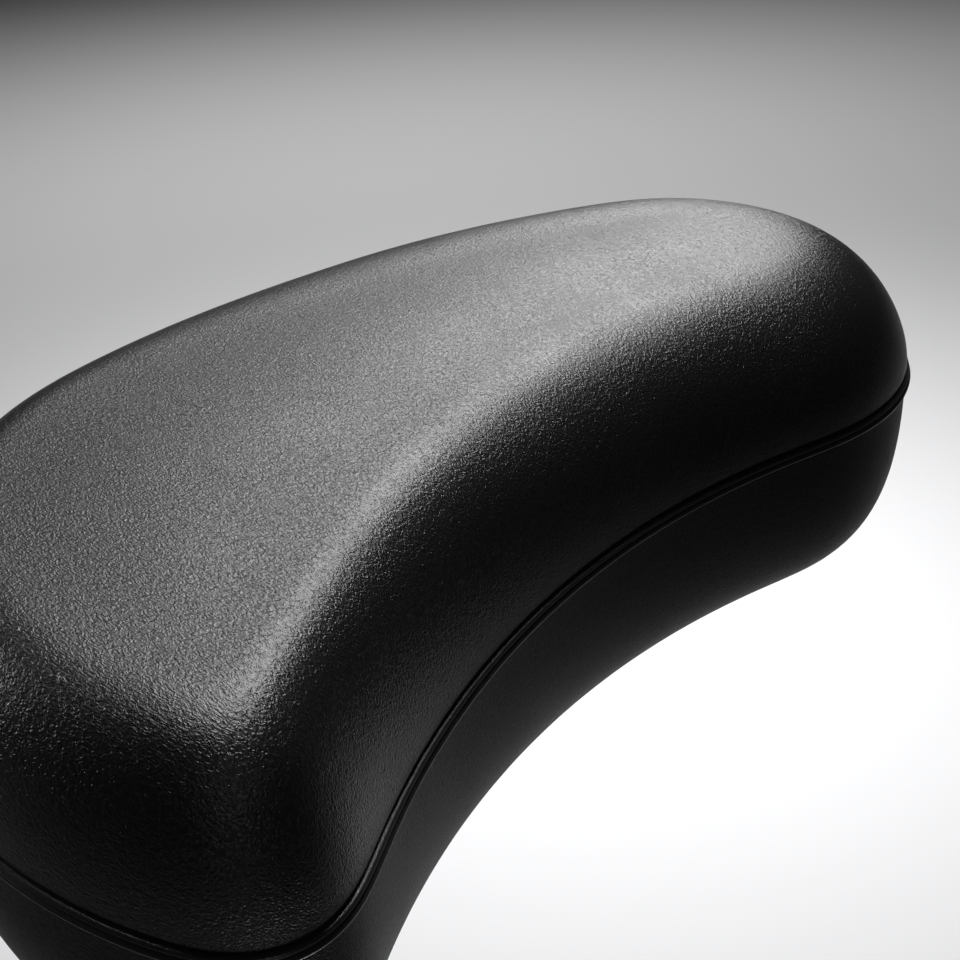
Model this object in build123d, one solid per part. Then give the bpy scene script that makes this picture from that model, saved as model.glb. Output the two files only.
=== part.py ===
from build123d import *
from math import atan2, cos, degrees, hypot, radians, sin, sqrt
import os

# Upholstered armrest pad for an office chair, with a swivel and slide mechanism in its underside.
# Millimetres. Origin: centre of the swivel base's underside, on the swivel axis.
# +X runs along the pad from its broad heel to its nose, the hollow side faces -Y, +Z is up.

# Plan of the pad at its seam: five tangent arcs, heel sweep, outer side, nose, hollow side, heel corner.
SWEEP_CENTRE = Vector(-17.0, -29.5)
SWEEP_R = 78.0
OUTER_R = 150.0
NOSE_R = 43.0
HOLLOW_R = 144.0
CORNER_R = 11.0
SWEEP_TO_OUTER = 102.0
OUTER_TO_NOSE = 54.0
NOSE_TO_HOLLOW = -112.0

# Heights and edge rounding of the pad.
PAD_BOTTOM = 2.0
SEAM_BOTTOM = 31.8
SEAM_TOP = 34.0
PAD_TOP = 56.0
TOP_ROUND = 23.0
BOTTOM_ROUND = 14.0
TOP_FULLNESS = 1.9
BOTTOM_FULLNESS = 2.6
ROUND_STEPS = (0.0, 25.0, 45.0, 62.0, 77.0, 90.0)
SKIN = 1.4
WELT_PROUD = 0.9
WELT_RIDGE = 0.8

# Movement of the mechanism.
SLIDE_TRAVEL = 20.0
SWIVEL_LIMIT = 20.0
NOTCH_PITCH = SLIDE_TRAVEL / 3
NOTCHES = 7

# Swivel base and pivot.
BASE_R = 20.0
BASE_H = 5.0
BASE_CHAMFER = 0.6
BOSS_R = 11.0
BOSS_TOP = 8.0
MOUNT_PCD = 29.0
MOUNT_HOLE_R = 2.1
MOUNT_ANGLES = (45.0, 135.0, 225.0, 315.0)
PIVOT_R = 4.0
PIVOT_HOLE_R = 4.05
PIVOT_HEAD_R = 6.5
PIVOT_HEAD_H = 4.0
PIVOT_HEAD_SUNK = 0.5
PIVOT_RECESS_GAP = 0.3
PIVOT_SOCKET_R = 2.5
PIVOT_SOCKET_DEPTH = 2.4
PIVOT_END = 23.0
NUT_FLATS = 13.0
NUT_CORNER_R = 7.28
NUT_H = 6.0
STOP_PIN_R = 1.9
STOP_PIN_AT = 16.0
STOP_PIN_BOTTOM = 0.6
SMALL_CHAMFER = 0.4
RUNNING_GAP = 0.15

# Carriage: the plate that swivels on the base and carries the slide.
PLATE_BOTTOM = 9.0
PLATE_TOP = 12.0
PLATE_HALF_X = 28.0
PLATE_HALF_Y = 22.0
PLATE_CORNER_R = 4.0
GUIDE_OUTER_Y = 23.5
GUIDE_INNER_Y = 20.5
GUIDE_LIP = 1.05
GUIDE_END_GAP = 4.5
BUSH_R = 6.0
BUSH_FLANGE_T = 1.0
WASHER_R = 8.5
WASHER_T = 1.0
LOWER_WASHER_R = BOSS_R - 0.5
DISC_SPRING_R = 8.0
SPRING_RISE = 0.55
SPRING_T = 0.45
SPRINGS_BOTTOM = PLATE_TOP + BUSH_FLANGE_T
SPRINGS_TOP = SPRINGS_BOTTOM + 2 * (SPRING_RISE + SPRING_T)
NUT_BOTTOM = SPRINGS_TOP + WASHER_T

# Detent leaf spring and its rack.
DETENT_Y = -14.0
DETENT_W = 5.0
LEAF_T = 0.8
LEAF_END_GAP = 0.4
LEAF_BEND_X = -13.5
LEAF_KNEE_X = 1.5
LEAF_KNEE_Z = 18.7
LEAF_TIP_Z = 18.2
LEAF_TIP_REACH = 7.0
LEAF_RIVET_XS = (-25.0, -18.0)
RIVET_R = 1.5
RIVET_HEAD_R = 2.4
RIVET_HEAD_T = 1.2
RIVET_TAIL_T = 1.0
BUMP_X = 8.0
BUMP_HALF_W = 3.2
BUMP_FOOT_Z = 18.9
BUMP_TOP_Z = 21.5
RACK_BOTTOM = 20.0
RACK_REACH = (NOTCHES - 1) / 2 * NOTCH_PITCH
RACK_END = 9.0
RACK_SCREW_AT = 6.0
RACK_SCREW_R = 1.5
RACK_SCREW_DEPTH = 3.0
RACK_HEAD_R = 2.2
RACK_HEAD_H = 1.4
NOTCH_HALF_W = 3.0
NOTCH_DEPTH = 2.7

# Slide channels and the moulded carrier that holds them.
CHANNEL_T = 1.6
CHANNEL_WEB_Y = GUIDE_OUTER_Y + RUNNING_GAP
CHANNEL_LIP_Y = 20.2
CHANNEL_TOP_LIP_Y = 16.6
CHANNEL_BOTTOM = 6.2
RECESS_TOP = 24.0
BUMPER_T = 2.8
BUMPER_GAP = 0.4
BUMPER_HALF_Y = 12.0
BUMPER_OVERLAP = 2.0
BUMPER_EDGE_R = 1.5
CHANNEL_END_GAP = 2.1
RECESS_HALF_X = PLATE_HALF_X + SLIDE_TRAVEL + BUMPER_GAP + BUMPER_T
RECESS_HALF_Y = CHANNEL_WEB_Y + CHANNEL_T + 0.1
RECESS_CORNER_R = 2.0
CARRIER_WALL = 3.0
CARRIER_CORNER_R = 5.0
CARRIER_TOP = RECESS_TOP + 4.0
CARRIER_WINDOW_GAP = 0.5
FLANGE_BOTTOM = PAD_BOTTOM + SKIN
FLANGE_TOP = FLANGE_BOTTOM + 2.6
FLANGE_INSET = 15.6
INSERT_BOSS_R = 5.0
INSERT_BOSS_TOP = 31.0
CHANNEL_SCREW_XS = (-38.0, 0.0, 38.0)
CHANNEL_SCREW_Y = 20.5
CHANNEL_SCREW_R = 1.95
CHANNEL_SCREW_DEPTH = 5.5
CHANNEL_HOLE_R = 2.2
CHANNEL_HEAD_R = 3.0
CHANNEL_HEAD_H = 2.2
CHANNEL_HEAD_EDGE = 0.8
CHANNEL_DRIVE_R = 1.1
CHANNEL_DRIVE_DEPTH = 1.2
INSERT_R = 2.9
INSERT_H = 6.0

# Underside trim ring, its screws and the staples that hold the cover.
WINDOW_R = BASE_R + 1.3
SKIN_OPENING_INSET = 18.2
TRIM_BODY_INSET = 18.5
TRIM_LIP_INSET = 15.0
TRIM_BOTTOM = 1.2
TRIM_SCREW_INSET = 25.0
TRIM_HEEL_ANGLES = (125.0, 152.0, 178.0)
TRIM_NOSE_ANGLES = (-80.0, -15.0, 50.0)
TRIM_SCREW_R = 1.5
TRIM_HOLE_R = 1.6
TRIM_HEAD_R = 2.7
TRIM_SINK_R = 2.8
TRIM_SINK_DEPTH = 1.1
SLOT_W = 0.6
SLOT_DEPTH = 0.7
HEAD_SUNK = 0.1
STAPLE_INSET = 16.8
STAPLE_WIRE = 0.5
STAPLE_W = 6.0
STAPLE_LEG = 3.0
STAPLE_COUNT = 24


def polar(radius, angle):
    """Vector of a given length and direction in the plan, angle in degrees."""
    return Vector(radius * cos(radians(angle)), radius * sin(radians(angle)))


def heading(vector):
    """Direction of a plan vector in degrees, from 0 to 360."""
    return degrees(atan2(vector.Y, vector.X)) % 360


def meeting_point(centre_a, radius_a, centre_b, radius_b):
    """The crossing of two circles that lies clockwise of the line from a to b."""
    span = hypot(centre_b.X - centre_a.X, centre_b.Y - centre_a.Y)
    along = (span**2 + radius_a**2 - radius_b**2) / (2 * span)
    across = sqrt(radius_a**2 - along**2)
    direction = heading(centre_b - centre_a)
    return centre_a + polar(along, direction) + polar(across, direction - 90)


OUTER_CENTRE = SWEEP_CENTRE + polar(SWEEP_R - OUTER_R, SWEEP_TO_OUTER)
NOSE_CENTRE = OUTER_CENTRE + polar(OUTER_R - NOSE_R, OUTER_TO_NOSE)
HOLLOW_CENTRE = NOSE_CENTRE + polar(NOSE_R + HOLLOW_R, NOSE_TO_HOLLOW)


def plan_wire(inset, z=0.0):
    """Closed outline of the pad, moved inwards by inset. The corner tightens but never vanishes."""
    corner_r = CORNER_R / (1 + inset / CORNER_R)
    sweep_r = SWEEP_R - inset
    hollow_r = HOLLOW_R + inset
    corner = meeting_point(SWEEP_CENTRE, sweep_r - corner_r, HOLLOW_CENTRE, hollow_r + corner_r)
    sweep_end = heading(corner - SWEEP_CENTRE)
    corner_end = heading(HOLLOW_CENTRE - corner)
    hollow_start = heading(corner - HOLLOW_CENTRE)
    hollow_end = NOSE_TO_HOLLOW + 180
    arcs = [
        CenterArc(SWEEP_CENTRE, sweep_r, SWEEP_TO_OUTER, (sweep_end - SWEEP_TO_OUTER) % 360),
        CenterArc(corner, corner_r, sweep_end, (corner_end - sweep_end) % 360),
        CenterArc(HOLLOW_CENTRE, hollow_r, hollow_start, hollow_end - hollow_start),
        CenterArc(NOSE_CENTRE, NOSE_R - inset, NOSE_TO_HOLLOW, OUTER_TO_NOSE - NOSE_TO_HOLLOW),
        CenterArc(OUTER_CENTRE, OUTER_R - inset, OUTER_TO_NOSE, SWEEP_TO_OUTER - OUTER_TO_NOSE),
    ]
    return Pos(0, 0, z) * Wire([arc.edge() for arc in arcs])


def plan_slab(inset, bottom, top):
    """The plan outline as a plate between two heights."""
    return extrude(Face(plan_wire(inset, bottom)), amount=top - bottom, dir=(0, 0, 1))


def rounded_half(start, end, edge_round, fullness, inset):
    """Half of the pad, from the seam to its top or bottom, its edge rounded as a superellipse."""
    sections = []
    for angle in ROUND_STEPS:
        rise = sin(radians(angle)) ** (2 / fullness)
        run = 1 - max(cos(radians(angle)), 0.0) ** (2 / fullness)
        sections.append(Face(plan_wire(inset + edge_round * run, start + (end - start) * rise)))
    return loft(sections)


def upper_half(inset=0.0):
    return rounded_half(SEAM_TOP, PAD_TOP - inset, TOP_ROUND, TOP_FULLNESS, inset)


def lower_half(inset=0.0):
    return rounded_half(SEAM_BOTTOM, PAD_BOTTOM + inset, BOTTOM_ROUND, BOTTOM_FULLNESS, inset)


def disc(radius, bottom, top, x=0.0, y=0.0):
    return Pos(x, y, bottom) * Cylinder(radius, top - bottom, align=(Align.CENTER, Align.CENTER, Align.MIN))


def ring(outer_r, inner_r, bottom, top, x=0.0, y=0.0):
    return disc(outer_r, bottom, top, x, y) - disc(inner_r, bottom, top, x, y)


def block(x_range, y_range, z_range):
    size = [high - low for low, high in (x_range, y_range, z_range)]
    centre = [(high + low) / 2 for low, high in (x_range, y_range, z_range)]
    return Pos(*centre) * Box(*size)


def rounded_block(half_x, half_y, radius, bottom, top):
    profile = RectangleRounded(2 * half_x, 2 * half_y, radius)
    return extrude(Pos(0, 0, bottom) * profile, amount=top - bottom)


def window(radius, bottom, top):
    """The opening in the underside that leaves room for the base over the whole slide travel."""
    profile = SlotOverall(2 * (SLIDE_TRAVEL + radius), 2 * radius)
    return extrude(Pos(0, 0, bottom) * profile, amount=top - bottom)


def group(solids):
    return Compound(children=[solid for item in solids for solid in item.solids()])


# ---------------------------------------------------------------- base, fixed to the chair's arm post

def swivel_base():
    """Cast disc with a raised boss, four tapped holes and a counterbore for the pivot bolt."""
    body = disc(BASE_R, 0, BASE_H) + disc(BOSS_R, BASE_H, BOSS_TOP)
    body = chamfer(body.edges().group_by(Axis.Z)[0], BASE_CHAMFER)
    body -= disc(PIVOT_HEAD_R + PIVOT_RECESS_GAP, 0, PIVOT_HEAD_SUNK + PIVOT_HEAD_H)
    body -= disc(PIVOT_HOLE_R, 0, BOSS_TOP)
    for angle in MOUNT_ANGLES:
        place = polar(MOUNT_PCD / 2, angle)
        body -= disc(MOUNT_HOLE_R, 0, BASE_H, place.X, place.Y)
    body -= disc(STOP_PIN_R, 0, BASE_H, STOP_PIN_AT, 0)
    return body


def pivot_bolt():
    """Shouldered pivot bolt with a hexagon socket, its head inside the base's counterbore."""
    head_top = PIVOT_HEAD_SUNK + PIVOT_HEAD_H
    head = disc(PIVOT_HEAD_R, PIVOT_HEAD_SUNK, head_top)
    head = chamfer(head.edges().group_by(Axis.Z)[0], SMALL_CHAMFER)
    hexagon = RegularPolygon(PIVOT_SOCKET_R, 6, major_radius=False)
    socket = extrude(Pos(0, 0, PIVOT_HEAD_SUNK) * hexagon, amount=PIVOT_SOCKET_DEPTH)
    shank = disc(PIVOT_R, head_top, PIVOT_END)
    shank = chamfer(shank.edges().group_by(Axis.Z)[-1], BASE_CHAMFER)
    return head - socket + shank


def stop_pin():
    """Dowel in the base that runs in the carriage's curved slot and ends the swivel."""
    pin = disc(STOP_PIN_R, STOP_PIN_BOTTOM, PLATE_TOP - 0.2, STOP_PIN_AT, 0)
    return chamfer(pin.edges().group_by(Axis.Z)[-1], SMALL_CHAMFER)


def pivot_nut():
    hexagon = RegularPolygon(NUT_FLATS / 2, 6, major_radius=False)
    nut = extrude(Pos(0, 0, NUT_BOTTOM) * hexagon, amount=NUT_H)
    nut &= disc(NUT_CORNER_R, NUT_BOTTOM, NUT_BOTTOM + NUT_H)
    return nut - disc(PIVOT_R, NUT_BOTTOM, NUT_BOTTOM + NUT_H)


def disc_springs():
    """Two conical spring washers, back to back, that press the swivel together."""
    bore_r = PIVOT_R + RUNNING_GAP
    middle = SPRINGS_BOTTOM + SPRING_RISE + SPRING_T
    cup = Polyline(
        (bore_r, SPRINGS_BOTTOM + SPRING_RISE),
        (DISC_SPRING_R, SPRINGS_BOTTOM),
        (DISC_SPRING_R, SPRINGS_BOTTOM + SPRING_T),
        (bore_r, middle),
        close=True,
    )
    lower = revolve(Plane.XZ * make_face(cup), Axis.Z)
    upper = mirror(lower, Plane.XY.offset(middle))
    return group([lower, upper])


# ---------------------------------------------------------------- carriage, swivels on the base

def stop_slot():
    """Curved slot for the stop pin, as long as the swivel range."""
    width = 2 * (STOP_PIN_R + RUNNING_GAP)
    path = CenterArc((0, 0), STOP_PIN_AT, -SWIVEL_LIMIT - 0.4, 2 * SWIVEL_LIMIT + 0.8)
    return extrude(Pos(0, 0, PLATE_BOTTOM) * SlotArc(path, width), amount=PLATE_TOP - PLATE_BOTTOM)


def carriage_plate():
    plate = rounded_block(PLATE_HALF_X, PLATE_HALF_Y, PLATE_CORNER_R, PLATE_BOTTOM, PLATE_TOP)
    plate -= disc(BUSH_R, PLATE_BOTTOM, PLATE_TOP)
    plate -= stop_slot()
    for x in LEAF_RIVET_XS:
        plate -= disc(RIVET_R, PLATE_BOTTOM, PLATE_TOP, x, DETENT_Y)
    return plate


def swivel_bush():
    """Flanged bearing bush pressed into the carriage plate."""
    sleeve = ring(BUSH_R, PIVOT_HOLE_R, PLATE_BOTTOM, PLATE_TOP)
    return sleeve + ring(WASHER_R, PIVOT_HOLE_R, PLATE_TOP, SPRINGS_BOTTOM)


def guide_strip(side):
    """Slippery U-shaped strip clipped over one long edge of the carriage plate."""
    length = (-PLATE_HALF_X + GUIDE_END_GAP, PLATE_HALF_X - GUIDE_END_GAP)
    strip = block(length, (GUIDE_INNER_Y, GUIDE_OUTER_Y), (PLATE_BOTTOM - GUIDE_LIP, PLATE_TOP + GUIDE_LIP))
    strip -= block(length, (GUIDE_INNER_Y, PLATE_HALF_Y), (PLATE_BOTTOM, PLATE_TOP))
    return strip if side > 0 else mirror(strip, Plane.XZ)


def detent_leaf():
    """Leaf spring riveted to the carriage, with a bump that drops into the rack's notches."""
    low = PLATE_TOP + LEAF_T / 2
    path = Polyline(
        (-PLATE_HALF_X + LEAF_END_GAP, low),
        (LEAF_BEND_X, low),
        (LEAF_KNEE_X, LEAF_KNEE_Z),
        (BUMP_X - BUMP_HALF_W, BUMP_FOOT_Z),
        (BUMP_X, BUMP_TOP_Z),
        (BUMP_X + BUMP_HALF_W, BUMP_FOOT_Z),
        (BUMP_X + LEAF_TIP_REACH, LEAF_TIP_Z),
    )
    leaf = extrude(Plane.XZ.offset(-DETENT_Y) * trace(path, LEAF_T), amount=DETENT_W / 2, both=True)
    for x in LEAF_RIVET_XS:
        leaf -= disc(RIVET_R, PLATE_TOP, PLATE_TOP + LEAF_T, x, DETENT_Y)
    return leaf


def leaf_rivets():
    leaf_top = PLATE_TOP + LEAF_T
    rivets = []
    for x in LEAF_RIVET_XS:
        rivet = disc(RIVET_R, PLATE_BOTTOM, leaf_top, x, DETENT_Y)
        rivet += disc(RIVET_HEAD_R, leaf_top, leaf_top + RIVET_HEAD_T, x, DETENT_Y)
        rivet += disc(RIVET_HEAD_R, PLATE_BOTTOM - RIVET_TAIL_T, PLATE_BOTTOM, x, DETENT_Y)
        rivets.append(rivet)
    return group(rivets)


# ---------------------------------------------------------------- pad, slides on the carriage

def slide_channel(side):
    """Rolled steel channel, one each side, that holds a guide strip between two lips."""
    length = (-RECESS_HALF_X + CHANNEL_END_GAP, RECESS_HALF_X - CHANNEL_END_GAP)
    strip_low = PLATE_BOTTOM - GUIDE_LIP - RUNNING_GAP
    strip_high = PLATE_TOP + GUIDE_LIP + RUNNING_GAP
    web = (CHANNEL_WEB_Y, CHANNEL_WEB_Y + CHANNEL_T)
    channel = block(length, web, (strip_low - CHANNEL_T, RECESS_TOP))
    channel += block(length, (CHANNEL_LIP_Y, CHANNEL_WEB_Y), (strip_low - CHANNEL_T, strip_low))
    channel += block(length, (CHANNEL_LIP_Y, CHANNEL_WEB_Y), (strip_high, strip_high + CHANNEL_T))
    channel += block(length, (CHANNEL_TOP_LIP_Y, CHANNEL_WEB_Y), (RECESS_TOP - CHANNEL_T, RECESS_TOP))
    for x in CHANNEL_SCREW_XS:
        channel -= disc(CHANNEL_HOLE_R, RECESS_TOP - CHANNEL_T, RECESS_TOP, x, CHANNEL_SCREW_Y)
    return channel if side > 0 else mirror(channel, Plane.XZ)


def channel_screw_places():
    return [(x, side * CHANNEL_SCREW_Y) for x in CHANNEL_SCREW_XS for side in (-1, 1)]


def channel_screws():
    """Pan head M4 screws that hold the channels to the carrier."""
    head_top = RECESS_TOP - CHANNEL_T
    head_low = head_top - CHANNEL_HEAD_H
    screws = []
    for x, y in channel_screw_places():
        head = disc(CHANNEL_HEAD_R, head_low, head_top, x, y)
        head = fillet(head.edges().group_by(Axis.Z)[0], CHANNEL_HEAD_EDGE)
        head -= disc(CHANNEL_DRIVE_R, head_low, head_low + CHANNEL_DRIVE_DEPTH, x, y)
        screws.append(head + disc(CHANNEL_SCREW_R, head_top, RECESS_TOP + CHANNEL_SCREW_DEPTH, x, y))
    return group(screws)


def thread_inserts():
    """Brass inserts moulded into the carrier's roof for the channel screws."""
    top = RECESS_TOP + INSERT_H
    return group([ring(INSERT_R, CHANNEL_SCREW_R, RECESS_TOP, top, x, y) for x, y in channel_screw_places()])


def detent_rack():
    """Notched strip under the carrier's roof: one notch for each place where the slide clicks."""
    ends = (BUMP_X - RACK_REACH - RACK_END, BUMP_X + RACK_REACH + RACK_END)
    rack = block(ends, (DETENT_Y - DETENT_W / 2, DETENT_Y + DETENT_W / 2), (RACK_BOTTOM, RECESS_TOP))
    for index in range(NOTCHES):
        x = BUMP_X - RACK_REACH + index * NOTCH_PITCH
        notch = Polyline(
            (x - NOTCH_HALF_W, RACK_BOTTOM),
            (x + NOTCH_HALF_W, RACK_BOTTOM),
            (x, RACK_BOTTOM + NOTCH_DEPTH),
            close=True,
        )
        rack -= extrude(Plane.XZ.offset(-DETENT_Y) * make_face(notch), amount=DETENT_W, both=True)
    for x in rack_screw_xs():
        rack -= disc(RACK_SCREW_R, RACK_BOTTOM, RECESS_TOP, x, DETENT_Y)
        rack -= disc(RACK_HEAD_R, RACK_BOTTOM, RACK_BOTTOM + RACK_HEAD_H, x, DETENT_Y)
    return rack


def rack_screw_xs():
    return (BUMP_X - RACK_REACH - RACK_SCREW_AT, BUMP_X + RACK_REACH + RACK_SCREW_AT)


def drive_slot(x, y, half_x, half_y, bottom):
    """A slot cut up into a screw's head."""
    top = bottom + HEAD_SUNK + SLOT_DEPTH
    return block((x - half_x, x + half_x), (y - half_y, y + half_y), (bottom, top))


def rack_screws():
    head_top = RACK_BOTTOM + RACK_HEAD_H
    screws = []
    for x in rack_screw_xs():
        screw = disc(RACK_HEAD_R, RACK_BOTTOM + HEAD_SUNK, head_top, x, DETENT_Y)
        screw += disc(RACK_SCREW_R, head_top, RECESS_TOP + RACK_SCREW_DEPTH, x, DETENT_Y)
        screws.append(screw - drive_slot(x, DETENT_Y, RACK_SCREW_R, SLOT_W / 2, RACK_BOTTOM))
    return group(screws)


def end_bumper(end):
    """Rubber block that the carriage plate meets at the end of the slide."""
    face = RECESS_HALF_X - BUMPER_T
    width = (-BUMPER_HALF_Y, BUMPER_HALF_Y)
    height = (PLATE_BOTTOM - BUMPER_OVERLAP, PLATE_TOP + BUMPER_OVERLAP)
    bumper = block((face, RECESS_HALF_X), width, height)
    bumper = fillet(bumper.edges().filter_by(Axis.Z).group_by(Axis.X)[0], BUMPER_EDGE_R)
    return bumper if end > 0 else mirror(bumper, Plane.YZ)


def carrier_envelope():
    """Everything inside the carrier's outer faces, its recess counted as full."""
    body = plan_slab(FLANGE_INSET, FLANGE_BOTTOM, FLANGE_TOP)
    half_x = RECESS_HALF_X + CARRIER_WALL
    half_y = RECESS_HALF_Y + CARRIER_WALL
    body += rounded_block(half_x, half_y, CARRIER_CORNER_R, FLANGE_TOP, CARRIER_TOP)
    for x, y in channel_screw_places():
        body += disc(INSERT_BOSS_R, CARRIER_TOP, INSERT_BOSS_TOP, x, y)
    return body


def carrier():
    """Moulded tray that holds the slide channels, with a flange for the cover and the trim ring."""
    body = carrier_envelope()
    body -= rounded_block(RECESS_HALF_X, RECESS_HALF_Y, RECESS_CORNER_R, FLANGE_TOP, RECESS_TOP)
    body -= window(WINDOW_R + CARRIER_WINDOW_GAP, FLANGE_BOTTOM, FLANGE_TOP)
    for x, y in channel_screw_places():
        body -= disc(INSERT_R, RECESS_TOP, RECESS_TOP + INSERT_H, x, y)
    for x in rack_screw_xs():
        body -= disc(RACK_SCREW_R, RECESS_TOP, RECESS_TOP + RACK_SCREW_DEPTH, x, DETENT_Y)
    for x, y in trim_screw_places():
        body -= disc(TRIM_SCREW_R, FLANGE_BOTTOM, FLANGE_TOP, x, y)
    for staple in staple_list():
        body -= staple
    return body


def foam_core():
    """Foam moulded round the carrier, filling the cover."""
    body = upper_half(SKIN) + plan_slab(SKIN, SEAM_BOTTOM, SEAM_TOP) + lower_half(SKIN)
    return body - carrier_envelope()


def upper_cover():
    """Upholstery skin over the top, down to the seam."""
    return upper_half() - upper_half(SKIN)


def lower_cover():
    """Upholstery skin from the seam, round the lower edge and under the pad to the trim ring."""
    body = lower_half() - lower_half(SKIN)
    body -= plan_slab(SKIN_OPENING_INSET, PAD_BOTTOM, PAD_BOTTOM + SKIN)
    for staple in staple_list():
        body -= staple
    return body


def seam_welt():
    """Narrow welt with two raised ridges between the upper and the lower cover."""
    middle = (SEAM_BOTTOM + SEAM_TOP) / 2
    welt = plan_slab(0, SEAM_BOTTOM, SEAM_TOP)
    welt += plan_slab(-WELT_PROUD, SEAM_BOTTOM, SEAM_BOTTOM + WELT_RIDGE)
    welt += plan_slab(-WELT_PROUD, middle, middle + WELT_RIDGE)
    return welt - plan_slab(SKIN, SEAM_BOTTOM, SEAM_TOP)


def underside_trim():
    """Plastic ring that covers the skin's edge and frames the opening for the base."""
    trim = plan_slab(TRIM_LIP_INSET, TRIM_BOTTOM, PAD_BOTTOM)
    trim += plan_slab(TRIM_BODY_INSET, PAD_BOTTOM, FLANGE_BOTTOM)
    trim -= window(WINDOW_R, TRIM_BOTTOM, FLANGE_BOTTOM)
    for x, y in trim_screw_places():
        trim -= disc(TRIM_HOLE_R, TRIM_BOTTOM, FLANGE_BOTTOM, x, y)
        trim -= disc(TRIM_SINK_R, TRIM_BOTTOM, TRIM_BOTTOM + TRIM_SINK_DEPTH, x, y)
    return trim


def trim_screw_places():
    """Three places round the heel sweep and three round the nose."""
    heel = [SWEEP_CENTRE + polar(SWEEP_R - TRIM_SCREW_INSET, angle) for angle in TRIM_HEEL_ANGLES]
    nose = [NOSE_CENTRE + polar(NOSE_R - TRIM_SCREW_INSET, angle) for angle in TRIM_NOSE_ANGLES]
    return [(place.X, place.Y) for place in heel + nose]


def trim_screws():
    head_top = TRIM_BOTTOM + TRIM_SINK_DEPTH
    screws = []
    for x, y in trim_screw_places():
        screw = disc(TRIM_HEAD_R, TRIM_BOTTOM + HEAD_SUNK, head_top, x, y)
        screw += disc(TRIM_SCREW_R, head_top, FLANGE_TOP - 0.2, x, y)
        screw -= drive_slot(x, y, TRIM_HOLE_R, SLOT_W / 2, TRIM_BOTTOM)
        screw -= drive_slot(x, y, SLOT_W / 2, TRIM_HOLE_R, TRIM_BOTTOM)
        screws.append(screw)
    return group(screws)


def staple_list():
    """Wire staples, evenly spaced, that fasten the skin's edge to the carrier's flange."""
    path = plan_wire(STAPLE_INSET, PAD_BOTTOM)
    staples = []
    for index in range(STAPLE_COUNT):
        share = (index + 0.5) / STAPLE_COUNT
        place = path @ share
        turn = heading(path % share)
        crown = block((-STAPLE_W / 2, STAPLE_W / 2), (-STAPLE_WIRE / 2, STAPLE_WIRE / 2), (0, STAPLE_WIRE))
        for end in (-1, 1):
            outer = end * STAPLE_W / 2
            span = sorted((outer, outer - end * STAPLE_WIRE))
            crown += block(span, (-STAPLE_WIRE / 2, STAPLE_WIRE / 2), (0, STAPLE_LEG))
        staples.append(Pos(place.X, place.Y, PAD_BOTTOM) * Rot(0, 0, turn) * crown)
    return staples


NODES = {
    "swivel_base": swivel_base,
    "pivot_bolt": pivot_bolt,
    "pivot_nut": pivot_nut,
    "stop_pin": stop_pin,
    "lower_thrust_washer": lambda: ring(LOWER_WASHER_R, PIVOT_HOLE_R, BOSS_TOP, PLATE_BOTTOM),
    "disc_springs": disc_springs,
    "upper_thrust_washer": lambda: ring(WASHER_R, PIVOT_HOLE_R, SPRINGS_TOP, NUT_BOTTOM),
    "carriage_plate": carriage_plate,
    "swivel_bush": swivel_bush,
    "outer_guide_strip": lambda: guide_strip(1),
    "inner_guide_strip": lambda: guide_strip(-1),
    "detent_leaf": detent_leaf,
    "leaf_rivets": leaf_rivets,
    "outer_slide_channel": lambda: slide_channel(1),
    "inner_slide_channel": lambda: slide_channel(-1),
    "channel_screws": channel_screws,
    "thread_inserts": thread_inserts,
    "detent_rack": detent_rack,
    "rack_screws": rack_screws,
    "nose_bumper": lambda: end_bumper(1),
    "heel_bumper": lambda: end_bumper(-1),
    "carrier": carrier,
    "foam_core": foam_core,
    "upper_cover": upper_cover,
    "lower_cover": lower_cover,
    "seam_welt": seam_welt,
    "underside_trim": underside_trim,
    "trim_screws": trim_screws,
    "cover_staples": lambda: group(staple_list()),
}

os.makedirs("parts", exist_ok=True)
for name, make in NODES.items():
    export_step(make(), f"parts/{name}.step")
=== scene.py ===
from math import atan2, cos, hypot, pi, radians, sin, sqrt

import bmesh
import bpy
import numpy as np
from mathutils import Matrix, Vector


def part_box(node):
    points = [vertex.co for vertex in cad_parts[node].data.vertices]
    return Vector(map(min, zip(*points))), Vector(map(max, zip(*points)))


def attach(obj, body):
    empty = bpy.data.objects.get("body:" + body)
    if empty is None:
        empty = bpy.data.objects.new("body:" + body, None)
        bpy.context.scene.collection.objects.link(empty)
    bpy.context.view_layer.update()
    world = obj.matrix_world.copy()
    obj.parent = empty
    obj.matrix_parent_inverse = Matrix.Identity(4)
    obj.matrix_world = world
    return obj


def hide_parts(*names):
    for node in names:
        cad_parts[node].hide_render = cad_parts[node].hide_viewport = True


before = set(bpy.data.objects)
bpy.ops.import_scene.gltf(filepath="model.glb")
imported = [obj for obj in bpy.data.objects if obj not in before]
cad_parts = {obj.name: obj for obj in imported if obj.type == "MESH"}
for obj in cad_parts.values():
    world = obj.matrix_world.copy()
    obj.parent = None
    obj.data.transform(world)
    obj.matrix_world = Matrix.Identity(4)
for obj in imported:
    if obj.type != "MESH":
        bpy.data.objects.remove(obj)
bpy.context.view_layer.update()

MM = 0.001

# Plan of the pad at its seam, the same five tangent arcs as the CAD model.
SWEEP_CENTRE = np.array((-17.0, -29.5)) * MM
SWEEP_R = 78 * MM
OUTER_R = 150 * MM
NOSE_R = 43 * MM
HOLLOW_R = 144 * MM
CORNER_R = 11 * MM
SWEEP_TO_OUTER = radians(102)
OUTER_TO_NOSE = radians(54)
NOSE_TO_HOLLOW = radians(-112)

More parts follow.
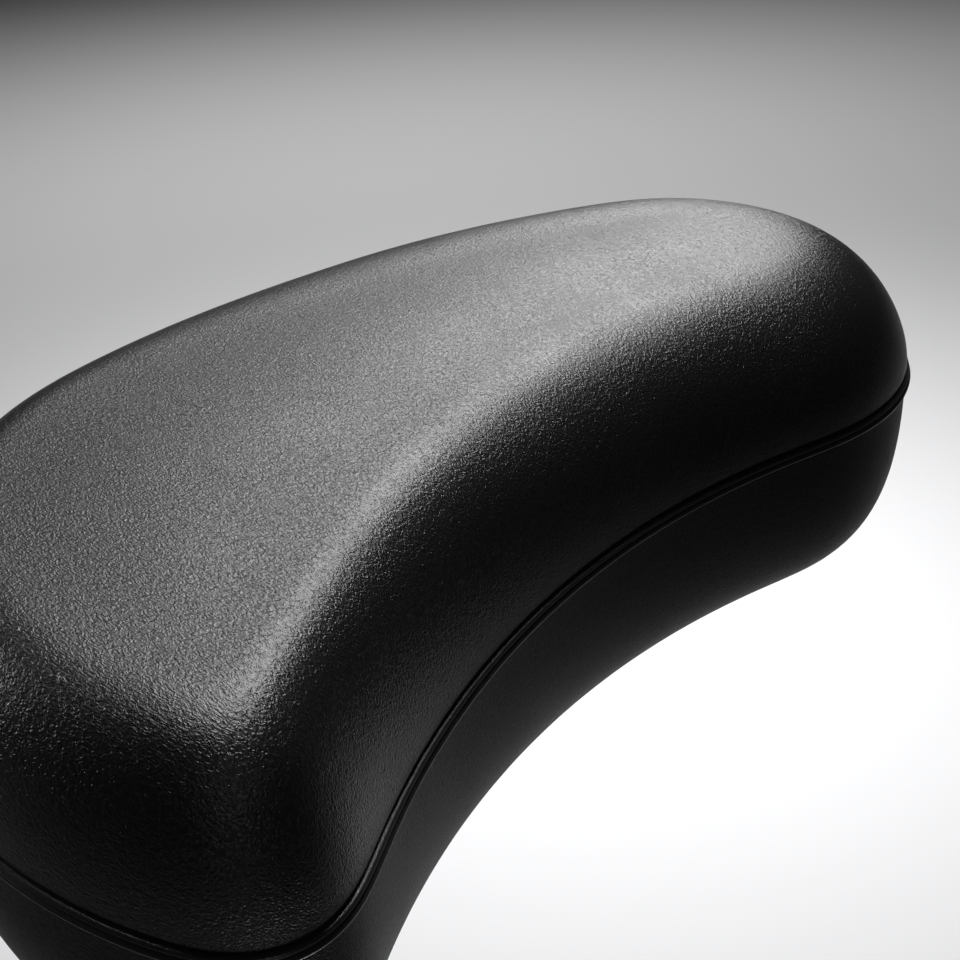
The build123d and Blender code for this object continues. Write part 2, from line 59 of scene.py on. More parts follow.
# Heights and the slide channel's outer corner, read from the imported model.
SEAM_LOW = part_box("seam_welt")[0].z
SEAM_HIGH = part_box("seam_welt")[1].z
PAD_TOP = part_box("upper_cover")[1].z
PAD_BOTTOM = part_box("lower_cover")[0].z
CAVITY_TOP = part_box("thread_inserts")[1].z + 1.2 * MM
CHANNEL_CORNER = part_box("outer_slide_channel")[1]

# Edge rounding of the covers, their thickness and the middle line that their tops close in on.
TOP_ROUND_NOSE = 28 * MM
TOP_ROUND_HEEL = 14.5 * MM
HEEL_X = -75 * MM
NOSE_X = 30 * MM
TOP_FULLNESS = (2.6, 1.6)
TOP_CROWN = 0.5 * MM
BOTTOM_ROUND = 14 * MM
BOTTOM_FULLNESS = (2.6, 2.6)
SKIN = 1.4 * MM
SKIN_END_INSET = 18.2 * MM
SPINE_R = 188 * MM
SPINE_NOSE = radians(68)
SPINE_HEEL = radians(102)
OUTLINE_POINTS = 560
OUTLINE_SOFTENING = 5 * MM
CAP_REACH = 0.97

# Edges in millimetres: inset from the outline and height over the seam's own edge.
TOP_COVER_EDGE = ((1.15, 0.0), (0.85, -0.1), (0.5, -0.08), (0.22, 0.06), (0.06, 0.32), (0.0, 0.6))
LOWER_COVER_LIP = ((1.1, 0.0), (0.6, 0.06), (0.2, 0.03), (0.02, -0.1), (-0.04, -0.35), (-0.02, -0.7))

# Section of the welt: inset in millimetres and share of the seam's height, from the top down.
WELT_GROOVE = ((1.3, 0.99), (1.15, 0.95), (0.9, 0.9), (0.4, 0.84))
WELT_UPPER_RIDGE = ((-0.12, 0.80), (-0.42, 0.73), (-0.52, 0.65), (-0.44, 0.57), (-0.15, 0.51), (-0.08, 0.46))
WELT_LOWER_RIDGE = ((-0.22, 0.41), (-0.62, 0.35), (-0.80, 0.25), (-0.74, 0.16), (-0.45, 0.08), (-0.12, 0.02))
WELT_BASE = ((0.4, 0.0), (1.3, 0.0))

# The cavity in the foam, round the carrier.
CAVITY_MARGIN_X = 5.1 * MM
CAVITY_MARGIN_Y = 3.3 * MM
CAVITY_FLARE = 0.3 * MM
CAVITY_SQUARENESS = 7
CAVITY_WALL_SHARES = (0.12, 0.4, 0.7, 0.95)
CAVITY_LID_SHARES = (0.6, 0.2)

# Leather: the grain's direction, its stretch along that direction first, its scales and its colours.
GRAIN_RUN = radians(84)
GRAIN_STRETCH = (2.4, 1.0, 1.2)
GRAIN_WARP = 0.0006
GRAIN_WARP_SCALE = 1100.0
GRAIN_CELLS = 3900.0
GRAIN_WORMS = 3700.0
GRAIN_FINE = 9000.0
LEATHER_DARK = (0.006, 0.006, 0.0062)
LEATHER_LIGHT = (0.017, 0.017, 0.0175)


# ---------------------------------------------------------------- plan outline

def polar(radius, angle):
    """The plan vector of a length and a direction."""
    return np.array((radius * cos(angle), radius * sin(angle)))


OUTER_CENTRE = SWEEP_CENTRE + polar(SWEEP_R - OUTER_R, SWEEP_TO_OUTER)
NOSE_CENTRE = OUTER_CENTRE + polar(OUTER_R - NOSE_R, OUTER_TO_NOSE)
HOLLOW_CENTRE = NOSE_CENTRE + polar(NOSE_R + HOLLOW_R, NOSE_TO_HOLLOW)


def heading(vector):
    """The direction of a plan vector."""
    return atan2(vector[1], vector[0])


def corner_centre(sweep_r, hollow_r):
    """The crossing, on the heel side, of two circles about the sweep's and the hollow's centres."""
    span = hypot(*(HOLLOW_CENTRE - SWEEP_CENTRE))
    along = (span**2 + sweep_r**2 - hollow_r**2) / (2 * span)
    across = sqrt(sweep_r**2 - along**2)
    direction = heading(HOLLOW_CENTRE - SWEEP_CENTRE)
    return SWEEP_CENTRE + polar(along, direction) + polar(across, direction - pi / 2)


def plan_arcs(inset):
    """The five arcs of the outline at an inset: centre, radius, first angle, last angle."""
    corner_r = CORNER_R / (1 + inset / CORNER_R)
    sweep_r = SWEEP_R - inset
    hollow_r = HOLLOW_R + inset
    corner = corner_centre(sweep_r - corner_r, hollow_r + corner_r)
    sweep_end = heading(corner - SWEEP_CENTRE) % (2 * pi)
    corner_end = heading(HOLLOW_CENTRE - corner) % (2 * pi)
    hollow_start = heading(corner - HOLLOW_CENTRE) % (2 * pi)
    return (
        (SWEEP_CENTRE, sweep_r, SWEEP_TO_OUTER, sweep_end),
        (corner, corner_r, sweep_end, corner_end),
        (HOLLOW_CENTRE, hollow_r, hollow_start, NOSE_TO_HOLLOW + pi),
        (NOSE_CENTRE, NOSE_R - inset, NOSE_TO_HOLLOW, OUTER_TO_NOSE),
        (OUTER_CENTRE, OUTER_R - inset, OUTER_TO_NOSE, SWEEP_TO_OUTER),
    )


def arc_shares():
    """How far round the outline each arc ends, as a share of the outline's length at the seam."""
    lengths = [radius * abs(last - first) for _, radius, first, last in plan_arcs(0)]
    return np.concatenate(([0], np.cumsum(lengths) / sum(lengths))), sum(lengths)


SHARES, OUTLINE_LENGTH = arc_shares()


def soften(points, reach):
    """Evens out the changes of curvature along a closed ring, over about reach metres."""
    step = OUTLINE_LENGTH / len(points)
    wave = np.fft.fftfreq(len(points), d=step) * 2 * pi
    weight = np.exp(-0.5 * (wave * reach) ** 2)[:, None]
    return np.real(np.fft.ifft(np.fft.fft(points, axis=0) * weight, axis=0))


def plan_ring(inset):
    """Points round the outline at an inset, each at the same share of the way round."""
    share = (np.arange(OUTLINE_POINTS) + 0.5) / OUTLINE_POINTS
    points = np.zeros((OUTLINE_POINTS, 2))
    for index, (centre, radius, first, last) in enumerate(plan_arcs(inset)):
        start, end = SHARES[index], SHARES[index + 1]
        here = (share >= start) & (share < end)
        angle = first + (last - first) * (share[here] - start) / (end - start)
        points[here] = centre + radius * np.stack((np.cos(angle), np.sin(angle)), 1)
    return soften(points, OUTLINE_SOFTENING)


def spine_points(ring):
    """For each point of a ring, the point of the pad's middle line that it closes in on."""
    away = ring - HOLLOW_CENTRE
    angle = np.clip(np.arctan2(away[:, 1], away[:, 0]), SPINE_NOSE, SPINE_HEEL)
    return HOLLOW_CENTRE + SPINE_R * np.stack((np.cos(angle), np.sin(angle)), 1)


# ---------------------------------------------------------------- rings and meshes

def at_height(ring, z):
    """A plan ring lifted to a height, or to a height for each point."""
    return np.column_stack((ring, np.broadcast_to(z, len(ring))))


def superellipse(steps, fullness):
    """Run and rise of a rounded edge, both from 0 to 1, with a fullness for each."""
    angle = np.linspace(0, pi / 2, steps)
    rise = np.sin(angle) ** (2 / fullness[1])
    run = 1 - np.maximum(np.cos(angle), 0) ** (2 / fullness[0])
    return run, rise


def inset_rings(edge_round):
    """A function that gives the outline inset by a share of the edge's rounding, which may vary along it."""
    steps = 48
    table = np.array([plan_ring(inset) for inset in np.linspace(0, edge_round.max() + SKIN, steps)])
    spacing = (edge_round.max() + SKIN) / (steps - 1)
    column = np.arange(OUTLINE_POINTS)

    def ring(start, share):
        place = np.minimum((start + edge_round * share) / spacing, steps - 1.001)
        below = place.astype(int)
        part = (place - below)[:, None]
        return table[below, column] * (1 - part) + table[below + 1, column] * part

    return ring


def shoulder_rings(inset, low, high, edge_round, fullness, steps):
    """Rings up or down a rounded edge, from an inset at one height in to the flat at the other."""
    run, rise = superellipse(steps, fullness)
    ring = inset_rings(edge_round)
    return [at_height(ring(inset, r), low + (high - low) * s) for r, s in zip(run, rise)]


def top_round():
    """How far the top's shoulder reaches in: tighter round the heel than at the nose."""
    along = np.clip((plan_ring(0)[:, 0] - HEEL_X) / (NOSE_X - HEEL_X), 0, 1)
    smooth = along * along * (3 - 2 * along)
    return TOP_ROUND_HEEL + (TOP_ROUND_NOSE - TOP_ROUND_HEEL) * smooth


def bottom_round():
    """How far the bottom's edge reaches in, the same all the way round."""
    return np.full(OUTLINE_POINTS, BOTTOM_ROUND)


def cap_rings(last_ring, crown, steps):
    """Rings that close in on the middle line, rising by crown on the way."""
    flat = last_ring[:, :2]
    spine = spine_points(flat)
    rings = []
    for share in np.linspace(0, CAP_REACH, steps + 1)[1:]:
        blend = flat + (spine - flat) * share
        rings.append(at_height(blend, last_ring[:, 2] + crown * (1 - (1 - share) ** 2) ** 2))
    return rings


def zip_shut(mesh, row):
    """Faces across a long narrow ring, from one tip to the other, side to side."""
    points = [vert.co for vert in row]
    count = len(row)
    first = min(range(count), key=lambda index: points[index].x)
    last = max(range(count), key=lambda index: points[index].x)
    left = [row[index % count] for index in range(first, last + 1 + (count if last < first else 0))]
    right = [row[index % count] for index in range(last, first + 1 + (count if first < last else 0))][::-1]
    at_left, at_right = 0, 0
    while at_left < len(left) - 1 or at_right < len(right) - 1:
        step_left = at_right == len(right) - 1
        if at_left < len(left) - 1 and at_right < len(right) - 1:
            reach_left = (left[at_left + 1].co - right[at_right].co).length
            step_left = reach_left < (left[at_left].co - right[at_right + 1].co).length
        corners = [left[at_left], right[at_right], left[at_left + 1] if step_left else right[at_right + 1]]
        if len(set(corners)) == 3:
            mesh.faces.new(corners)
        at_left += step_left
        at_right += not step_left


def build(name, rings, closed=False, material=None):
    """A mesh of quads between rings. It is either shut at both ends or joined into a closed loop."""
    mesh = bmesh.new()
    rows = [[mesh.verts.new(point) for point in ring] for ring in rings]
    pairs = list(zip(rows, rows[1:] + rows[:1])) if closed else list(zip(rows, rows[1:]))
    for first, second in pairs:
        count = len(first)
        for index in range(count):
            after = (index + 1) % count
            mesh.faces.new((first[index], first[after], second[after], second[index]))
    if not closed:
        zip_shut(mesh, rows[0])
        zip_shut(mesh, rows[-1])
    bmesh.ops.recalc_face_normals(mesh, faces=mesh.faces)
    data = bpy.data.meshes.new(name)
    mesh.to_mesh(data)
    mesh.free()
    data.shade_smooth()
    piece = bpy.data.objects.new(name, data)
    bpy.context.scene.collection.objects.link(piece)
    data.materials.append(material)
    return piece


# ---------------------------------------------------------------- node materials

class Nodes:
    """Short helpers for one material's node tree."""

    def __init__(self, name):
        self.material = bpy.data.materials.new(name)
        self.material.use_nodes = True
        self.tree = self.material.node_tree
        self.shader = self.tree.nodes["Principled BSDF"]
        self.place = self.tree.nodes.new("ShaderNodeTexCoord").outputs["Object"]

    def add(self, kind, links=None, **settings):
        node = self.tree.nodes.new(kind)
        for key, value in settings.items():
            setattr(node, key, value)
        for key, value in (links or {}).items():
            if isinstance(value, bpy.types.NodeSocket):
                self.tree.links.new(value, node.inputs[key])
            else:
                node.inputs[key].default_value = value
        return node

    def noise(self, scale, detail=2.0, rough=0.5, place=None, distortion=0.0):
        links = {"Vector": place or self.place, "Scale": scale, "Detail": detail}
        links.update({"Roughness": rough, "Distortion": distortion})
        return self.add("ShaderNodeTexNoise", links).outputs["Fac"]

    def spread(self, value, low, high, to_low=0.0, to_high=1.0):
        links = {"Value": value, "From Min": low, "From Max": high, "To Min": to_low, "To Max": to_high}
        return self.add("ShaderNodeMapRange", links).outputs["Result"]

    def math(self, operation, first, second):
        return self.add("ShaderNodeMath", {0: first, 1: second}, operation=operation).outputs[0]

    def mix(self, share, first, second):
        node = self.add("ShaderNodeMix", {"Factor": share}, data_type="RGBA")
        for socket, value in ((node.inputs[6], first), (node.inputs[7], second)):
            socket.default_value = (*value, 1)
        return node.outputs[2]

    def set(self, **values):
        """Values for the shader's own sockets: a link or a number."""
        for key, value in values.items():
            socket = self.shader.inputs[key.replace("_", " ")]
            if isinstance(value, bpy.types.NodeSocket):
                self.tree.links.new(value, socket)
            else:
                socket.default_value = value

    def bump(self, height, distance, strength=1.0, normal=None):
        links = {"Height": height, "Distance": distance, "Strength": strength}
        if normal:
            links["Normal"] = normal
        return self.add("ShaderNodeBump", links).outputs["Normal"]


def grain_space(n):
    """Object space turned and stretched along the grain, and bent a little so that no line is straight."""
    mapping = {"Vector": n.place, "Rotation": (0, 0, GRAIN_RUN), "Scale": GRAIN_STRETCH}
    turned = n.add("ShaderNodeMapping", mapping, vector_type="TEXTURE").outputs["Vector"]
    warp = n.add("ShaderNodeTexNoise", {"Vector": n.place, "Scale": GRAIN_WARP_SCALE, "Detail": 1.0})
    centred = {0: warp.outputs["Color"], 1: (0.5, 0.5, 0.5)}
    shift = n.add("ShaderNodeVectorMath", centred, operation="SUBTRACT")
    scaled = n.add("ShaderNodeVectorMath", {0: shift.outputs[0], "Scale": GRAIN_WARP}, operation="SCALE")
    return n.add("ShaderNodeVectorMath", {0: turned, 1: scaled.outputs[0]}, operation="ADD").outputs[0]


def leather_material(name, grain_depth, roughness, specular=0.5, painted_light_lift=1.0):
    """Black artificial leather: fine worm-like grain that runs one way, satin, with broad soft variation."""
    n = Nodes(name)
    bent = grain_space(n)
    cell_links = {"Vector": bent, "Scale": GRAIN_CELLS, "Smoothness": 0.5}
    cells = n.add("ShaderNodeTexVoronoi", cell_links, feature="SMOOTH_F1").outputs["Distance"]
    pebble = n.spread(cells, 0.05, 0.65, 1.0, 0.0)
    worm = n.spread(n.noise(GRAIN_WORMS, 1.5, 0.5, place=bent), 0.3, 0.7)
    fine = n.noise(GRAIN_FINE, 1.0, 0.5)
    height = n.math("ADD", n.math("MULTIPLY", pebble, 0.45), n.math("MULTIPLY", worm, 0.55))
    height = n.math("ADD", height, n.math("MULTIPLY", fine, 0.15))
    patch = n.noise(38.0, 3.0, 0.55)
    depth = n.math("MULTIPLY", height, n.spread(patch, 0.3, 0.7, 0.8, 1.1))
    broad = n.bump(n.noise(26.0, 2.0), 0.0002, 0.4)
    n.set(Normal=n.bump(depth, grain_depth, 1.0, broad))
    # The colours can be lifted as painted light, so that a piece in shade looks lit; only the welt lifts
    # them.
    dark = np.array(LEATHER_DARK) * painted_light_lift
    light = np.array(LEATHER_LIGHT) * painted_light_lift
    n.set(Base_Color=n.mix(n.spread(height, 0.2, 1.0), dark, light))
    smooth, rough = roughness
    worn = n.spread(height, 0.0, 1.1, rough, smooth)
    n.set(Roughness=n.math("ADD", worn, n.spread(patch, 0.3, 0.7, -0.02, 0.02)))
    n.set(IOR=1.5, Specular_IOR_Level=specular)
    return n.material


def foam_material():
    """Moulded foam: a pale skin of open cells."""
    n = Nodes("moulded_foam")
    cell = n.add("ShaderNodeTexVoronoi", {"Vector": n.place, "Scale": 1400.0}).outputs["Distance"]
    n.set(Base_Color=n.mix(n.noise(60.0, 4.0), (0.50, 0.46, 0.34), (0.62, 0.58, 0.46)))
    n.set(Roughness=n.spread(cell, 0.0, 1.0, 0.8, 0.97), Normal=n.bump(cell, 0.0003))
    return n.material


def plastic_material(name, dark, light, rough, texture_depth, texture_scale=2600.0):
    """Moulded plastic with a spark-eroded texture, slight flow marks and scuffs."""
    n = Nodes(name)
    texture = n.noise(texture_scale, 3.0, 0.6)
    flow = n.noise(45.0, 3.0, 0.5, distortion=1.5)
    scuff = n.spread(n.noise(320.0, 6.0, 0.7), 0.58, 0.72)
    shade = n.math("ADD", n.math("MULTIPLY", flow, 0.7), n.math("MULTIPLY", scuff, 0.3))
    n.set(Base_Color=n.mix(shade, dark, light))
    satin = n.spread(flow, 0.3, 0.7, rough - 0.05, rough + 0.05)
    n.set(Roughness=n.math("ADD", satin, n.math("MULTIPLY", scuff, -0.12)))
    n.set(Normal=n.bump(texture, texture_depth, 0.8))
    return n.material


def metal_material(name, dark, light, rough, grain_depth, stretch=(1, 1, 1), metallic=1.0):
    """Metal with a rolled or tumbled grain, cloudy plating and small handling marks."""
    n = Nodes(name)
    drawn = n.add("ShaderNodeMapping", {"Vector": n.place, "Scale": stretch}).outputs["Vector"]
    grain = n.noise(2400.0, 3.0, 0.65, place=drawn)
    cloud = n.noise(90.0, 4.0, 0.6)
    mark = n.spread(n.noise(700.0, 5.0, 0.75), 0.6, 0.74)
    n.set(Base_Color=n.mix(n.math("SUBTRACT", cloud, n.math("MULTIPLY", mark, 0.3)), dark, light))
    satin = n.spread(cloud, 0.3, 0.7, rough - 0.06, rough + 0.06)
    n.set(Roughness=n.math("ADD", satin, n.math("MULTIPLY", mark, 0.15)))
    n.set(Normal=n.bump(grain, grain_depth, 0.6), Metallic=metallic)
    return n.material


def coated_material(name, colour, rough):
    """Powder coat: orange peel over steel."""
    n = Nodes(name)
    peel = n.noise(900.0, 2.0, 0.5)
    cloud = n.noise(70.0, 3.0, 0.6)
    lighter = tuple(1.5 * c for c in colour)
    n.set(Base_Color=n.mix(cloud, colour, lighter))
    n.set(Roughness=n.spread(cloud, 0.3, 0.7, rough - 0.06, rough + 0.06))
    n.set(Normal=n.bump(peel, 0.00004, 0.7))
    return n.material


def rubber_material():
    """Matt rubber with a faint bloom."""
    n = Nodes("bumper_rubber_look")
    bloom = n.noise(240.0, 5.0, 0.65)
    n.set(Base_Color=n.mix(bloom, (0.012, 0.012, 0.012), (0.04, 0.04, 0.04)))
    n.set(Roughness=n.spread(bloom, 0.3, 0.7, 0.7, 0.92), Normal=n.bump(n.noise(3000.0, 2.0), 0.00004))
    return n.material


# The looks of the covers, metals, plastics and rubber. Depths of grain and texture are in metres.
COVER = leather_material("cover_leather", 0.0001, (0.25, 0.36))
SIDE_COVER = leather_material("cover_leather_side", 0.00006, (0.42, 0.52), specular=0.1)
# The welt's colours are lifted 1.6 times as painted light, so that its ridges look lit in the pad's shadow.
WELT = leather_material("welt_leather_painted_light", 0.00002, (0.26, 0.34), specular=0.9, painted_light_lift=1.6)
ZINC = metal_material("zinc_plate", (0.44, 0.45, 0.47), (0.66, 0.67, 0.69), 0.36, 0.00002)
CASTING = metal_material("tumbled_casting", (0.42, 0.43, 0.44), (0.58, 0.59, 0.60), 0.46, 0.00005)
ACETAL = plastic_material("acetal", (0.58, 0.57, 0.53), (0.70, 0.69, 0.65), 0.38, 0.00001)
SPRING = metal_material("blued_spring", (0.16, 0.18, 0.24), (0.30, 0.32, 0.38), 0.34, 0.00002)
POWDER_COAT = coated_material("black_powder_coat", (0.018, 0.018, 0.019), 0.44)
BRASS = metal_material("turned_brass", (0.60, 0.45, 0.20), (0.78, 0.62, 0.32), 0.30, 0.00002, (1, 1, 8))
ROLLED = metal_material("rolled_zinc", (0.42, 0.43, 0.45), (0.62, 0.63, 0.65), 0.38, 0.00003, (0.06, 1, 1))
RUBBER = rubber_material()
FILLED_DARK = (0.022, 0.022, 0.023)
FILLED_LIGHT = (0.040, 0.040, 0.042)
FILLED = plastic_material("glass_filled_plastic", FILLED_DARK, FILLED_LIGHT, 0.55, 0.00005)
SPARK_DARK = (0.022, 0.022, 0.023)
SPARK_LIGHT = (0.036, 0.036, 0.037)
SPARKED = plastic_material("spark_textured_plastic", SPARK_DARK, SPARK_LIGHT, 0.5, 0.00007, 1900.0)
BLACK_OXIDE = metal_material("black_oxide", (0.02, 0.02, 0.022), (0.05, 0.05, 0.055), 0.42, 0.00002)

# Which CAD nodes have which look. The four soft nodes are replaced and have none.
CAD_LOOKS = (
    (CASTING, ("swivel_base",)),
    (ZINC, ("pivot_bolt", "pivot_nut", "stop_pin", "upper_thrust_washer", "cover_staples")),
    (ZINC, ("leaf_rivets", "channel_screws", "rack_screws")),
    (ACETAL, ("lower_thrust_washer", "outer_guide_strip", "inner_guide_strip", "detent_rack")),
    (SPRING, ("disc_springs", "detent_leaf")),
    (POWDER_COAT, ("carriage_plate",)),
    (BRASS, ("swivel_bush", "thread_inserts")),
    (ROLLED, ("outer_slide_channel", "inner_slide_channel")),
    (RUBBER, ("nose_bumper", "heel_bumper")),
    (FILLED, ("carrier",)),
    (SPARKED, ("underside_trim",)),
    (BLACK_OXIDE, ("trim_screws",)),
)


def dress_cad_nodes():
    """Gives every CAD node that stays visible its look."""
    for look, names in CAD_LOOKS:
        for name in names:
            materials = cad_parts[name].data.materials
            materials.clear()
            materials.append(look)


# ---------------------------------------------------------------- upholstery

def finish_piece(piece, node):
    """Puts a piece on the pad, in place of a soft CAD node."""
    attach(piece, "pad")
    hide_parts(node)


def upper_cover():
    """The top skin: a crowned shell whose lower edge turns in over the seam's groove."""
    inside = shoulder_rings(SKIN, SEAM_HIGH + 0.1 * MM, PAD_TOP - SKIN, top_round(), TOP_FULLNESS, 18)
    inside += cap_rings(inside[-1], TOP_CROWN, 8)
    outside = shoulder_rings(0, SEAM_HIGH + 0.9 * MM, PAD_TOP, top_round(), TOP_FULLNESS, 44)
    outside += cap_rings(outside[-1], TOP_CROWN, 22)
    turned = [at_height(plan_ring(inset * MM), SEAM_HIGH + rise * MM) for inset, rise in TOP_COVER_EDGE]
    piece = build("cover_top", inside[::-1] + turned + outside, material=COVER)
    finish_piece(piece, "upper_cover")


def lower_cover():
    """The lower skin: a lip under the welt, the rounded lower edge and the turn under the pad."""
    outside = shoulder_rings(0, SEAM_LOW - 1.1 * MM, PAD_BOTTOM, bottom_round(), BOTTOM_FULLNESS, 36)
    top = [at_height(plan_ring(inset * MM), SEAM_LOW + rise * MM) for inset, rise in LOWER_COVER_LIP]
    under_insets = np.linspace(BOTTOM_ROUND, SKIN_END_INSET, 5)[1:]
    under = [at_height(plan_ring(inset), PAD_BOTTOM) for inset in under_insets]
    inner_low = PAD_BOTTOM + SKIN
    back = [at_height(plan_ring(SKIN_END_INSET), inner_low)]
    inside = shoulder_rings(SKIN, SEAM_LOW - 0.2 * MM, inner_low, bottom_round(), BOTTOM_FULLNESS, 18)[::-1]
    piece = build("cover_bottom", top + outside + under + back + inside, closed=True, material=SIDE_COVER)
    finish_piece(piece, "lower_cover")


def seam_welt():
    """The narrow welt in the seam: a shadow groove and two fine ridges."""
    height = SEAM_HIGH - SEAM_LOW
    profile = WELT_GROOVE + WELT_UPPER_RIDGE + WELT_LOWER_RIDGE + WELT_BASE
    rings = [at_height(plan_ring(inset * MM), SEAM_LOW + share * height) for inset, share in profile]
    piece = build("welt", rings, closed=True, material=WELT)
    finish_piece(piece, "seam_welt")


def cavity_ring(z, grow):
    """A rounded rectangle round the carrier, with points in step with the plan outline."""
    half_x = CHANNEL_CORNER.x + CAVITY_MARGIN_X + grow
    half_y = CHANNEL_CORNER.y + CAVITY_MARGIN_Y + grow
    plan = plan_ring(SKIN)
    angle = np.arctan2(plan[:, 1] / half_y, plan[:, 0] / half_x)
    power = 2 / CAVITY_SQUARENESS
    x = half_x * np.sign(np.cos(angle)) * np.abs(np.cos(angle)) ** power
    y = half_y * np.sign(np.sin(angle)) * np.abs(np.sin(angle)) ** power
    return np.column_stack((x, y, np.full(len(plan), z)))


def foam_core():
    """The foam: the inside shape of the covers, with a cavity moulded round the carrier."""
    gap = SKIN + 0.1 * MM
    middle = SEAM_LOW + 0.3 * MM
    low = PAD_BOTTOM + gap
    top = shoulder_rings(gap, middle, PAD_TOP - gap, top_round(), TOP_FULLNESS, 20)
    top += cap_rings(top[-1], TOP_CROWN, 10)
    bottom = shoulder_rings(gap, middle, low, bottom_round(), BOTTOM_FULLNESS, 16)[1:]
    roof = cavity_ring(CAVITY_TOP, 0)
    centre = roof[:, :2].mean(axis=0)
    lid = [at_height(centre + (roof[:, :2] - centre) * share, CAVITY_TOP) for share in CAVITY_LID_SHARES]
    walls = []
    for share in CAVITY_WALL_SHARES:
        walls.append(cavity_ring(low + (CAVITY_TOP - low) * share, CAVITY_FLARE * (1 - share)))
    rings = top[::-1] + bottom + walls + [roof] + lid
    piece = build("foam_core_moulding", rings, material=foam_material())
    finish_piece(piece, "foam_core")


# ---------------------------------------------------------------- stage, light and camera

FLOOR_Z = -0.80
FLOOR_HALF_SIZE = 12
# The darker colour is painted shade, laid round the pad; the paler one is the floor's own colour.
FLOOR_PAINTED_SHADE = (0.34, 0.34, 0.345)
FLOOR_PALE = (0.88, 0.88, 0.89)

# The floor's colour holds painted light and shade: a painted pool of light behind the pad and painted
# shade round it. The floor turns pale behind the pad, between the two distances of POOL_BEHIND. To either
# side it fades between the two shares of POOL_SIDES, taken of the distance behind plus POOL_FAN_OFFSET.
# Between the two distances of PALE_FAR, on every side, it turns pale again.
POOL_BEHIND = (0.1, 0.6)
POOL_SIDES = (0.34, 1.1)
POOL_FAN_OFFSET = 0.5
PALE_FAR = (1.6, 3.0)

PAD_MIDDLE = Vector((0, 0, 0.04))
WORLD_TINT = (0.9, 0.95, 1, 1)
WORLD_STRENGTH = 0.012

# Soft panels round the pad: name, azimuth off the view's own and elevation in degrees, width, depth, watts.
KEY_DISTANCE = 1.1
PANEL_SPREAD = 50
KEY_PANELS = (
    ("panel_low", 12, 22, 0.40, 0.26, 0.16),
    ("panel_middle", 3, 44, 0.46, 0.36, 0.38),
    ("panel_left", -50, 65, 0.36, 0.28, 0.14),
    ("panel_top", 16, 66, 0.36, 0.26, 0.46),
    ("panel_back", -62, 6, 0.50, 0.30, 0.20),
)

# Lamps that light the floor: name, place, point aimed at, width, depth, watts, spread in degrees.
# A place or point is a distance behind the camera's aim, a shift to the right and a height over the aim.
FLOOR_LIGHTS = (
    ("floor_near", (1.35, 0.1, 0.6), (1.05, 0.15, FLOOR_Z), 0.9, 0.6, 8, 104),
    ("floor_far", (3.3, -0.2, 1.9), (2.4, -0.1, FLOOR_Z), 2.4, 2.0, 26, 122),
    ("floor_front", (-2.4, 0, 1.2), (-2.0, 0, FLOOR_Z), 1.5, 1.5, 7, 116),
)
UNDER_FILL_PLACE = Vector((0, 0, -0.6))
UNDER_FILL_SIZE = 0.6
UNDER_FILL_WATTS = 0.5

CAMERA_AZIMUTH = radians(-51.1)
CAMERA_ELEVATION = radians(28.4)
CAMERA_ROLL = radians(-3.06)
CAMERA_DISTANCE = 0.2387
CAMERA_AIM = Vector((0.0034, -0.0144, 0.034))
CAMERA_LENS = 56.95


def camera():
    """The camera, at the photograph's viewing angle."""
    data = bpy.data.cameras.new("view")
    data.sensor_width = 36
    data.lens = CAMERA_LENS
    data.clip_start = 0.01
    eye = bpy.data.objects.new("view", data)
    bpy.context.scene.collection.objects.link(eye)
    flat = cos(CAMERA_ELEVATION)
    back = Vector((sin(CAMERA_AZIMUTH) * flat, -cos(CAMERA_AZIMUTH) * flat, sin(CAMERA_ELEVATION)))
    eye.location = CAMERA_AIM + back * CAMERA_DISTANCE
    turn = (-back).to_track_quat("-Z", "Y").to_matrix().to_4x4()
    eye.rotation_euler = (turn @ eye.matrix_world.Rotation(CAMERA_ROLL, 4, "Z")).to_euler()
    bpy.context.scene.camera = eye


def behind(distance, across, height):
    """A place by its distance behind the camera's aim, its shift to the right and its height over it."""
    away = Vector((-sin(CAMERA_AZIMUTH), cos(CAMERA_AZIMUTH), 0))
    right = Vector((cos(CAMERA_AZIMUTH), sin(CAMERA_AZIMUTH), 0))
    return CAMERA_AIM + away * distance + right * across + Vector((0, 0, height))


def soft_light(name, place, aim, width, depth, watts, spread):
    """A rectangular lamp that the camera doesn't see. Its spread is in degrees."""
    data = bpy.data.lights.new(name, "AREA")
    data.shape = "RECTANGLE"
    data.size = width
    data.size_y = depth
    data.energy = watts
    data.spread = radians(spread)
    lamp = bpy.data.objects.new(name, data)
    bpy.context.scene.collection.objects.link(lamp)
    lamp.visible_camera = False
    lamp.location = place
    lamp.rotation_euler = (aim - place).to_track_quat("-Z", "Y").to_euler()


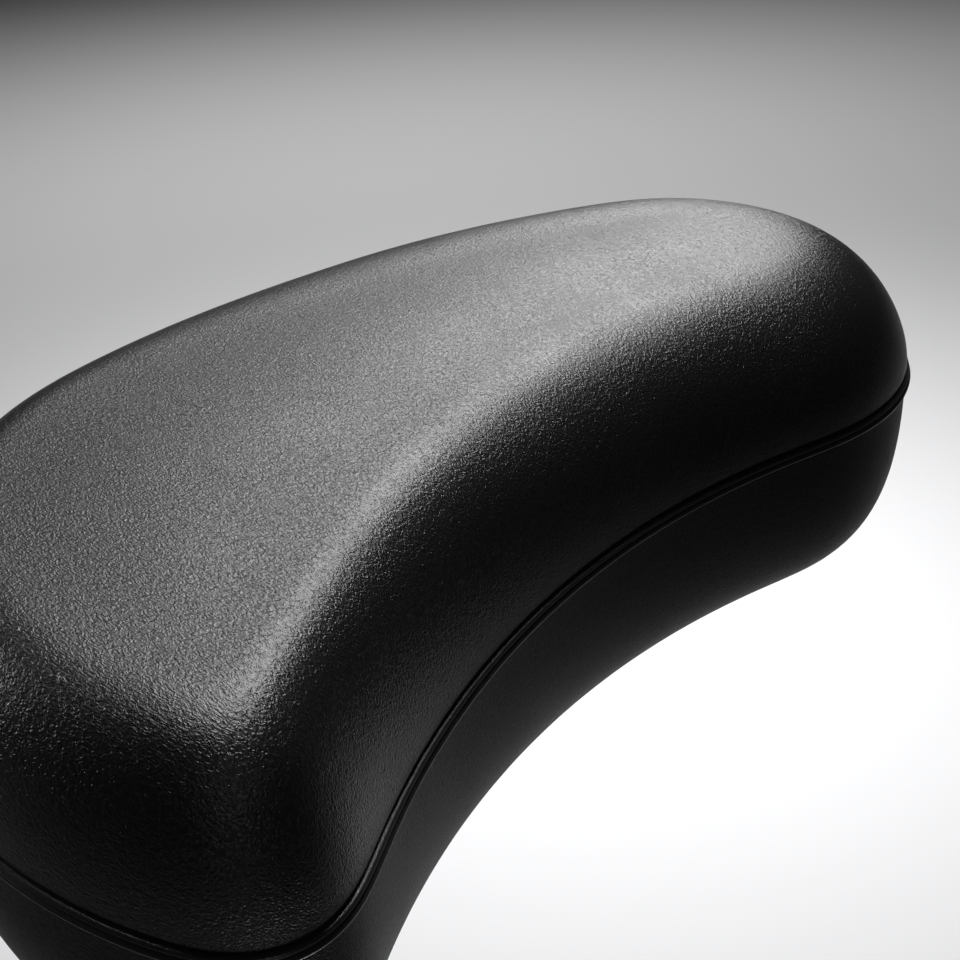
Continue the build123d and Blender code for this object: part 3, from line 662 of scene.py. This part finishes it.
def floor_material():
    """Pale behind the pad and far off, as a painted pool of light, and greyer round the pad as painted
    shade, so that its wall has little to mirror.
    """
    n = Nodes("floor_painted_pool")
    away = tuple(behind(1, 0, 0) - behind(0, 0, 0))
    right = tuple(behind(0, 1, 0) - behind(0, 0, 0))
    reach = n.add("ShaderNodeVectorMath", {0: n.place, 1: away}, operation="DOT_PRODUCT").outputs["Value"]
    across = n.add("ShaderNodeVectorMath", {0: n.place, 1: right}, operation="DOT_PRODUCT").outputs["Value"]
    fan = n.math("ADD", n.math("MAXIMUM", reach, 0.0), POOL_FAN_OFFSET)
    sideways = n.math("DIVIDE", n.math("ABSOLUTE", across, 0.0), fan)
    # A painted pool of light behind the pad; outside it the floor takes the painted shade colour.
    painted_pool = n.math("MULTIPLY", n.spread(reach, *POOL_BEHIND), n.spread(sideways, *POOL_SIDES, 1.0, 0.0))
    far_off = n.add("ShaderNodeVectorMath", {0: n.place}, operation="LENGTH").outputs["Value"]
    painted_pool = n.math("MAXIMUM", painted_pool, n.spread(far_off, *PALE_FAR))
    n.set(Base_Color=n.mix(painted_pool, FLOOR_PAINTED_SHADE, FLOOR_PALE), Roughness=0.9)
    return n.material


def floor():
    """A flat floor, well below the pad, with painted light and shade in its colour."""
    mesh = bmesh.new()
    bmesh.ops.create_grid(mesh, x_segments=8, y_segments=8, size=FLOOR_HALF_SIZE)
    bmesh.ops.translate(mesh, vec=(0, 0, FLOOR_Z), verts=mesh.verts)
    data = bpy.data.meshes.new("studio_floor")
    mesh.to_mesh(data)
    mesh.free()
    data.materials.append(floor_material())
    piece = bpy.data.objects.new("studio_floor", data)
    bpy.context.scene.collection.objects.link(piece)


def lighting():
    """A faint even world, soft panels for the pad, lamps for the floor and a little light from below."""
    world = bpy.data.worlds.new("studio")
    world.use_nodes = True
    background = world.node_tree.nodes["Background"]
    background.inputs["Color"].default_value = WORLD_TINT
    background.inputs["Strength"].default_value = WORLD_STRENGTH
    bpy.context.scene.world = world
    for name, azimuth, elevation, width, depth, watts in KEY_PANELS:
        flat = cos(radians(elevation)) * KEY_DISTANCE
        across = flat * sin(radians(azimuth))
        place = behind(flat * cos(radians(azimuth)), across, sin(radians(elevation)) * KEY_DISTANCE)
        soft_light(name, place, PAD_MIDDLE, width, depth, watts, PANEL_SPREAD)
    for name, place, aim, width, depth, watts, spread in FLOOR_LIGHTS:
        soft_light(name, behind(*place), behind(*aim), width, depth, watts, spread)
    size = UNDER_FILL_SIZE
    soft_light("under_fill", UNDER_FILL_PLACE, PAD_MIDDLE, size, size, UNDER_FILL_WATTS, PANEL_SPREAD)


# ---------------------------------------------------------------- assembly

bpy.context.scene.view_settings.view_transform = "Standard"
camera()
dress_cad_nodes()
upper_cover()
lower_cover()
seam_welt()
foam_core()
floor()
lighting()
